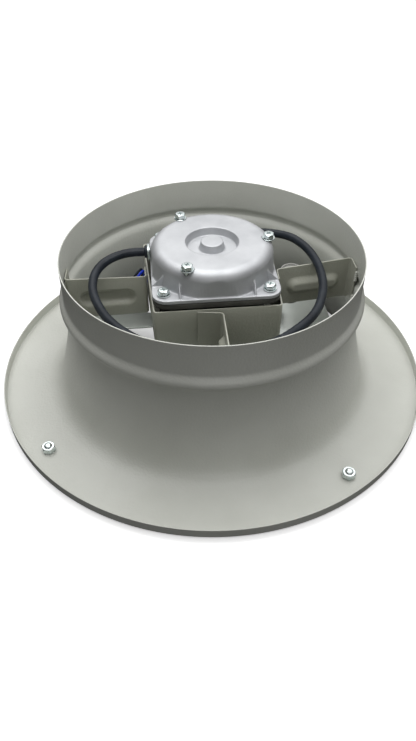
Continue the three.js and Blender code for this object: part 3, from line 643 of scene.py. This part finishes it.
def cap_shell():
    under = RECESS_FLOOR - CAP_WALL
    relief = under + BEARING_RELIEF
    bend = (CAP_SHOULDER - CAP_BEND, CAP_TOP - CAP_BEND)
    made = lathe("motor_housing_cap", [
        (0, CAP_TOP),
        (BOSS_R, CAP_TOP),
        (BOSS_FOOT_R, RECESS_FLOOR),
        (RECESS_FLOOR_R, RECESS_FLOOR),
        (RECESS_R, CAP_TOP),
        *arc(bend, CAP_BEND, 90, 0, 16),
        (CAP_FOOT, CAP_FLANGE),
        (CAP_FOOT, CAP_SPLIT),
        (CAP_FOOT - CAP_WALL, CAP_SPLIT),
        (CAP_SHOULDER - CAP_WALL, CAP_TOP - CAP_BEND),
        *arc(bend, CAP_BEND - CAP_WALL, 0, 90, 6),
        (RECESS_R + RECESS_WALL, CAP_TOP - CAP_WALL),
        (RECESS_R + RECESS_WALL, under),
        (BEARING_R + BEARING_CUP, under),
        (BEARING_R + BEARING_CUP, BEARING_LOW),
        (BEARING_R + GAP, BEARING_LOW),
        (BEARING_R + GAP, relief),
        (0, relief),
    ], ROUND["cap"])
    for vertex in made.data.vertices:
        for axis in (0, 1):
            limit = CAP_FLAT * MM
            vertex.co[axis] = max(-limit, min(limit, vertex.co[axis]))
    return made


def cap_rib(sx, sy, along_x):
    verts = []
    for across in (-CAP_RIB_T / 2, CAP_RIB_T / 2):
        for reach, rise in CAP_RIB_SIDE:
            near, far = CAP_RIB_OFFSET + across, CAP_RIB_FOOT + reach
            x, y = (far, near) if along_x else (near, far)
            verts.append((sx * x, sy * y, CAP_FLANGE - SINK + rise))
    faces = [(0, 1, 2, 3), (4, 5, 6, 7)]
    faces += [(i, (i + 1) % 4, 4 + (i + 1) % 4, 4 + i) for i in range(4)]
    return mesh_object("cutter", verts, faces)


def cap_ribs():
    """Two thin ribs beside each corner screw."""
    return [cap_rib(sx, sy, along_x) for sx, sy in QUARTERS for along_x in (True, False)]


def cap_cutters():
    cuts = []
    for spot in cap_screw_spots():
        top = CAP_TOP + PAST
        cuts.append(drum(SCREW_HOLE, CAP_SCREW_SEAT - CAP_SCREW_DEPTH, top, spot))
        cuts.append(drum(WASHER_R + CAP_WASHER_ROOM, CAP_SCREW_SEAT, top, spot, ROUND["washer"]))
    for sx, sy in QUARTERS:
        spot, high = (sx * CORNER_AT, sy * CORNER_AT), CAP_FLANGE + CORNER_ROOM
        cuts.append(drum(SCREW_HOLE, CAP_SPLIT - PAST, CAP_FLANGE + PAST, spot))
        cuts.append(drum(WASHER_R + CORNER_WASHER_ROOM, CAP_FLANGE, high, spot, ROUND["washer"]))
    bore = drum(BUSH_HOLE, GLAND_INSIDE - PAST, GLAND_FACE + PAST)
    bore.data.transform(Matrix.Rotation(-math.pi / 2, 4, "Y"))
    bore.data.transform(Matrix.Translation((0, GLAND_Y * MM, GLAND_Z * MM)))
    return [*cuts, bore]


def motor_cap():
    cap = cap_shell()
    square = rounded_square(MOTOR_HALF, MOTOR_CORNER * CORNER_SHARE)
    plate = prism("cutter", square, CAP_SPLIT, CAP_FLANGE)
    inside = drum(CAP_FOOT - CAP_WALL, CAP_SPLIT - PAST, CAP_FLANGE + PAST, sides=ROUND["body"])
    combine(plate, [inside], "DIFFERENCE")
    pad = block(
        (-GLAND_FACE, -GLAND_INSIDE),
        (GLAND_Y - GLAND_WIDTH / 2, GLAND_Y + GLAND_WIDTH / 2),
        (CAP_FLANGE - SINK, GLAND_Z + GLAND_HEIGHT / 2 - GAP))
    combine(cap, [plate, pad, *cap_ribs()], "UNION")
    # Remeshed and smoothed, so that every join gets the small fillet of a die casting.
    grain = cap.modifiers.new("grain", "REMESH")
    grain.mode = "VOXEL"
    grain.voxel_size = CAST_VOXEL * MM
    soften = cap.modifiers.new("soften", "SMOOTH")
    soften.factor = CAST_SMOOTHING
    soften.iterations = CAST_ROUNDS
    settle(cap)
    combine(cap, cap_cutters(), "DIFFERENCE")
    cap.data.transform(Matrix.Rotation(math.radians(MOTOR_TURN), 4, "Z"))
    dress(cap, "cast_aluminium", FRAME_BODY, ["motor_cap"], angle=40)


motor_cap()


# ---- hex-head screws with a cross recess ----
def screw_mesh(name, shank):
    corner = SCREW_FLATS / math.sqrt(3)
    made = prism(name, hex_outline(SCREW_FLATS), 0, SCREW_HEAD)
    form = lathe("cutter", [
        (0, -PAST), (corner + SCREW_CROWN[0][0], -PAST),
        *((corner + out, SCREW_HEAD - down) for out, down in SCREW_CROWN), (0, SCREW_HEAD),
    ], ROUND["chamfer"])
    combine(made, [form], "INTERSECT")
    half_length, half_width = CROSS_LENGTH / 2, CROSS_WIDTH / 2
    slots = []
    for turn in CROSS_TURNS:
        slot = block((-half_length, half_length), (-half_width, half_width),
                     (SCREW_HEAD - CROSS_DEPTH, SCREW_HEAD + PAST))
        slot.data.transform(Matrix.Rotation(math.radians(turn), 4, "Z"))
        slots.append(slot)
    combine(made, slots, "DIFFERENCE")
    return combine(made, [drum(SCREW_R, -shank, SINK, sides=ROUND["shank"])], "UNION")


def washer_mesh(name):
    inner, edge = SCREW_R + GAP, WASHER_EDGE
    return lathe(name, [
        (inner, 0), (WASHER_R - edge, 0), (WASHER_R, edge), (WASHER_R, WASHER_T - edge),
        (WASHER_R - edge, WASHER_T), (inner + edge, WASHER_T), (inner, WASHER_T - edge),
    ], ROUND["washer"])


def fit_screw(label, spot, seat, shank, turn):
    x, y = in_motor(*spot)
    washer = turned_about(washer_mesh(label + "_ring"), 0, (x, y, seat + GAP))
    dress(washer, "zinc_plate", FRAME_BODY, [label + "_washer"])
    screw = screw_mesh(label + "_bolt", shank)
    turned_about(screw, turn, (x, y, seat + WASHER_T + 2 * GAP))
    bevelled(screw, SCREW_EDGE, angle=25)
    dress(screw, "zinc_plate", FRAME_BODY, [label], angle=25)


def motor_screws():
    for i, spot in enumerate(cap_screw_spots()):
        fit_screw(f"cap_screw_{i + 1}", spot, CAP_SCREW_SEAT, CAP_SHANK, CAP_SCREW_TURN + i)
    for i, (sx, sy) in enumerate(CORNERS):
        spot = (sx * CORNER_AT, sy * CORNER_AT)
        fit_screw(f"corner_screw_{i + 1}", spot, CAP_FLANGE, CORNER_SHANK, CORNER_TURN * i)


motor_screws()


# ---- arms ----
def beside_tray(side, along, off):
    width = TRAY_FRONT + (TRAY_BACK - TRAY_FRONT) * (along + TRAY_HALF) / (2 * TRAY_HALF)
    spot = {
        "right": (width + off, along),
        "left": (-width - off, along),
        "front": (along, -TRAY_HALF - off),
    }[side]
    return Matrix.Rotation(math.radians(TRAY_TURN), 2) @ Vector(spot)


def bend_points(start, at, end, radius, steps=8):
    a = at + (start - at).normalized() * radius
    b = at + (end - at).normalized() * radius
    line = []
    for i in range(steps + 1):
        t = i / steps
        line.append(a * (1 - t) ** 2 + at * (2 * t * (1 - t)) + b * t * t)
    return line


def rib_height(along, z, length):
    """How far the rib stands out at a point of the arm's web."""
    r = RIB_HEIGHT / 2
    low, high = RIB_MARGIN + r, length - RIB_MARGIN - r
    inside = r - math.hypot(along - max(low, min(high, along)), z - RIB_Z)
    t = max(0.0, min(1.0, inside / RIB_ROLL))
    return RIB_DEPTH * t * t * (3 - 2 * t)


def arm(name, side, bend, lift, tab, collar):
    a = beside_tray(side, bend + tab, GAP + ARM_SHEET)
    b = beside_tray(side, bend, lift)
    reach = math.radians(collar)
    tab_end = math.radians(collar - ARM_TAB)
    c = Vector((math.cos(reach), math.sin(reach))) * ARM_REACH
    d = Vector((math.cos(tab_end), math.sin(tab_end))) * ARM_REACH
    web = c - b
    line = [a, *bend_points(a, b, c, ARM_BEND)]
    first, last = line[-1], c - web.normalized() * ARM_BEND
    line += [first.lerp(last, i / ARM_STEPS) for i in range(1, ARM_STEPS)]
    line += [*bend_points(b, c, d, ARM_BEND), d]
    across = Vector((web.y, -web.x)).normalized()
    grid, normals = [], []
    for i, point in enumerate(line):
        after, before = line[min(i + 1, len(line) - 1)], line[max(i - 1, 0)]
        tangent = (after - before).normalized()
        facing = Vector((tangent.y, -tangent.x, 0))
        run = (point - b).dot(web.normalized())
        rise = max(0.0, min(1.0, (point.length - b.length) / (c.length - b.length)))
        top = ARM_INNER + (ARM_OUTER - ARM_INNER) * rise
        column = []
        for j in range(ARM_ROWS + 1):
            z = ARM_BOTTOM + (top - ARM_BOTTOM) * j / ARM_ROWS
            out = across * rib_height(run, z, web.length)
            column.append(Vector((point.x + out.x, point.y + out.y, z)))
        grid.append(column)
        normals.append([facing] * (ARM_ROWS + 1))
    made = thick_sheet(name + "_strip", grid, normals, ARM_SHEET)
    bevelled(made, SHEET_EDGE, angle=50)
    dress(made, "painted_steel", FRAME_BODY, [name])
    # Painted shade: the arm takes the darker copy of the housing's coat.
    made.data.materials[0] = SHADED_CARRIER_COAT


def weld_bead(name, angle, low, high):
    """A lumpy bead of weld between the end of an arm's folded tab and the collar."""
    steps = WELD_LUMPS * WELD_STEPS
    profile = [(0, low)]
    for i in range(steps + 1):
        z = low + (high - low) * i / steps
        lump = abs(math.sin(math.pi * WELD_LUMPS * i / steps))
        profile.append((WELD_R + WELD_LUMP * math.sqrt(lump), z))
    made = lathe(name, profile + [(0, high)], ROUND["weld"])
    reach = ARM_REACH + ARM_SHEET / 2
    turned_about(made, angle, (reach * math.cos(angle), reach * math.sin(angle), 0))
    dress(made, "painted_steel", FRAME_BODY, angle=60)


for name, plan in ARMS.items():
    arm(name, *plan)
    tab_end = math.radians(plan[-1] - ARM_TAB)
    for place, (low, high) in WELDS.items():
        weld_bead(f"{name}_weld_{place}", tab_end, low, high)


# ---- wheel ----
def blade_point(t, u):
    r = BLADE_ROOT + (BLADE_TIP - BLADE_ROOT) * t
    pitch = BLADE_PITCH * (1 + t * t)
    rise = BLADE_RISE + (BLADE_TIP_RISE - BLADE_RISE) * t
    trailing = math.radians(BLADE_TRAILING - BLADE_SWEEP * t - BLADE_CURL * t * t)
    angle = trailing - (1 - u) * rise / pitch
    camber = BLADE_CAMBER * math.sin(math.pi * u)
    return Vector((r * math.cos(angle), r * math.sin(angle), BLADE_TOP - (1 - u) * rise + camber))


def rounded_u(t, u):
    """Draws the blade's edges in towards its tip, which rounds the two outer corners."""
    if t <= BLADE_TIP_START:
        return u
    k = (t - BLADE_TIP_START) / (1 - BLADE_TIP_START)
    inset = BLADE_TIP_INSET * (1 - math.sqrt(max(0.0, 1 - k * k)))
    return inset + (1 - 2 * inset) * u


def blade(index):
    grid, normals = [], []
    for i in range(BLADE_SPANS + 1):
        t = math.sin(math.pi / 2 * i / BLADE_SPANS)
        row, facing = [], []
        for j in range(BLADE_CHORDS + 1):
            u = rounded_u(t, j / BLADE_CHORDS)
            here = blade_point(t, u)
            outward = blade_point(t + BLADE_STEP, u) - here
            along = blade_point(t, u + BLADE_STEP) - here
            row.append(here)
            facing.append(outward.cross(along).normalized())
        grid.append(row)
        normals.append(facing)
    made = thick_sheet(f"wheel_blade_{index}", grid, normals, BLADE_SHEET)
    made.data.transform(Matrix.Rotation(math.tau * (index - 1) / BLADE_COUNT, 4, "Z"))
    bevelled(made, WHEEL_EDGE, angle=50)
    dress(made, "wheel_sheet", WHEEL_BODY, [f"blade_{index}"])


def hub():
    deck = HUB_TOP - HUB_DECK
    inside = HUB_R - HUB_WALL - HUB_DECK
    made = lathe("wheel_drum", [
        (SHAFT_BORE, HUB_BOSS_BOTTOM),
        (HUB_BOSS, HUB_BOSS_BOTTOM),
        (HUB_BOSS, deck),
        *arc((inside, deck - HUB_DECK), HUB_DECK, 90, 0, 6),
        (HUB_R - HUB_WALL, HUB_BOTTOM),
        (HUB_R, HUB_BOTTOM),
        *arc((HUB_R - HUB_ROUND, HUB_TOP - HUB_ROUND), HUB_ROUND, 0, 90, 8),
        (SHAFT_BORE, HUB_TOP),
    ], ROUND["hub"])
    bevelled(made, WHEEL_EDGE, angle=40)
    dress(made, "wheel_sheet", WHEEL_BODY, ["wheel_hub"])


hub()
for index in range(1, BLADE_COUNT + 1):
    blade(index)


# ---- the CAD nodes that stay ----
def keep_cad():
    slots = {s["node"]: s["material_slot"] for s in frame["record"]["subparts"]}
    for name, node in nodes.items():
        node.data.materials.clear()
        # The tray and arms take the darker copy of the coat, which is painted shade.
        node.data.materials.append(SHADED_CARRIER_COAT if name in CARRIER_NODES else FINISHES[slots[name]])
        if node.hide_render:
            continue
        weld = node.modifiers.new("weld", "WELD")
        weld.merge_threshold = 1e-6
        bevelled(node, CAD_EDGE, angle=40)
        node.data.shade_smooth()
        node.data.set_sharp_from_angle(angle=math.radians(35))


keep_cad()


# ---- floor, light ----
def floor():
    verts = [(sx * FLOOR_HALF, sy * FLOOR_HALF, FLOOR_Z) for sx, sy in CORNERS]
    made = mesh_object("floor", verts, [(0, 1, 2, 3)])
    plain, _, principled = shader("floor", 0.9, color=(0.93, 0.93, 0.93))
    principled.inputs["Emission Color"].default_value = (1, 1, 1, 1)
    principled.inputs["Emission Strength"].default_value = 0.4
    made.data.materials.append(plain)
    made.visible_diffuse = False
    made.visible_glossy = False


def area_light(name, at, aim, size, power):
    data = bpy.data.lights.new(name, "AREA")
    data.shape = "RECTANGLE"
    data.size, data.size_y = size
    data.energy = power
    made = bpy.data.objects.new(name, data)
    bpy.context.scene.collection.objects.link(made)
    made.location = at
    made.visible_camera = False
    made.rotation_euler = (Vector(aim) - Vector(at)).to_track_quat("-Z", "Y").to_euler()


def sky():
    """A studio that is bright above and behind the object, and dim on the camera's side."""
    world = bpy.data.worlds.new("studio")
    world.use_nodes = True
    bpy.context.scene.world = world
    tree = world.node_tree
    place = tree.nodes.new("ShaderNodeTexCoord")
    facing = tree.nodes.new("ShaderNodeVectorMath")
    facing.operation = "DOT_PRODUCT"
    facing.inputs[1].default_value = (0.12, 0.3, 0.95)
    tree.links.new(place.outputs["Generated"], facing.inputs[0])
    level = ramp(tree, facing.outputs["Value"], (0.02, 0.02, 0.02), (1, 1, 1), 0.42, 0.94)
    ground = tree.nodes["Background"]
    ground.inputs["Strength"].default_value = 1.5
    tree.links.new(level, ground.inputs["Color"])


floor()
sky()
area_light("overhead", (-0.25, 0.7, 1.5), (0, 0, 0.05), (1.6, 1.0), 7)
area_light("front_low", (0.1, -1.5, 0.62), (0, 0.12, 0.11), (1.2, 0.3), 2.5)
area_light("rear_fill", (0, -0.05, 0.33), (0, 0.125, 0.1), (0.25, 0.1), 0.3)
bpy.context.scene.view_settings.view_transform = "Standard"
